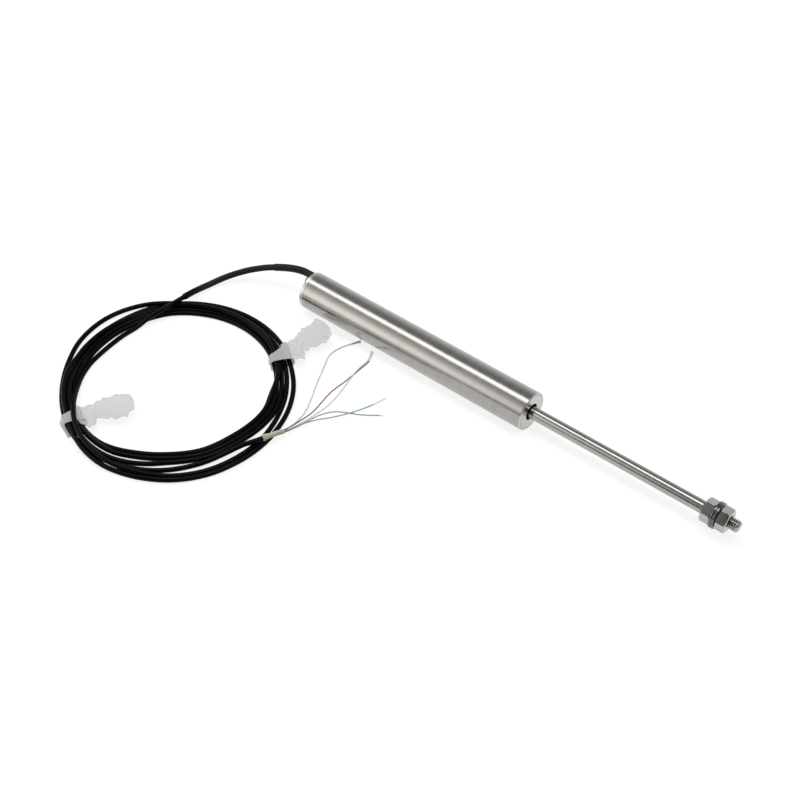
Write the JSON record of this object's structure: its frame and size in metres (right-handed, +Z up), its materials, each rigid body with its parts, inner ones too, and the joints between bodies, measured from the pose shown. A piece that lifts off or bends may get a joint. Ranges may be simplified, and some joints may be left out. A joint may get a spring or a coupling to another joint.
{
  "type": "lvdt displacement sensor",
  "caption": "Round stainless displacement sensor with a sliding threaded rod at the front and a thin coiled signal cable with bare conductors at the rear.",
  "frame": {"origin": "on the housing's axis at the middle of the housing's length", "axes": "+X along the rod towards its threaded end, +Z up with the sensor lying on a surface, +Y away from the side where the cable's coil lies"},
  "size_m": [0.3075, 0.1505, 0.019],
  "materials": {
    "housing_steel": "brushed",
    "cap_steel": "turned",
    "rod_steel": "polished",
    "fastener_steel": "bright",
    "bush_polymer": "satin",
    "liner_steel": "drawn",
    "former_plastic": "moulded",
    "winding_copper": "enamelled wire",
    "shield_metal": "rolled",
    "board_laminate": "satin",
    "core_iron": "annealed",
    "guide_polymer": "waxy",
    "screw_steel": "machined",
    "cable_jacket": "satin",
    "grommet_rubber": "satin",
    "sleeve_weave": "woven",
    "wire_screen": "stranded",
    "wire_red": "satin",
    "wire_white": "satin",
    "wire_blue": "satin",
    "wire_green": "satin",
    "tie_film": "crumpled film"
  },
  "bodies": {
    "housing": {"body_tube": "housing_steel", "front_cap": "housing_steel", "front_bush": "bush_polymer", "rear_cap": "cap_steel", "bore_liner": "liner_steel", "coil_former": "former_plastic", "primary_coil": "winding_copper", "secondary_coil_front": "winding_copper", "secondary_coil_rear": "winding_copper", "magnetic_shield": "shield_metal", "terminal_board": "board_laminate", "cable_grommet": "grommet_rubber", "cable_lead": "cable_jacket", "cable_coil": "cable_jacket", "cable_tail": "cable_jacket", "screen_sleeve": "sleeve_weave", "screen_wire": "wire_screen", "red_wire": "wire_red", "white_wire": "wire_white", "blue_wire": "wire_blue", "green_wire": "wire_green", "left_tie": "tie_film", "right_tie": "tie_film"},
    "guide": {"core_guide": "guide_polymer"},
    "armature": {"push_rod": "rod_steel", "core": "core_iron", "guide_screw": "screw_steel", "inner_nut": "fastener_steel", "inner_washer": "fastener_steel", "outer_washer": "fastener_steel", "outer_nut": "fastener_steel"}
  },
  "joints": [
    {"name": "rod_slide", "type": "slide", "parent": "housing", "child": "guide", "axis": [1, 0, 0], "range_m": [-0.025, 0.025]},
    {"name": "rod_spin", "type": "hinge", "parent": "guide", "child": "armature", "pos_m": [0, 0, 0], "axis": [1, 0, 0], "continuous": true}
  ]
}
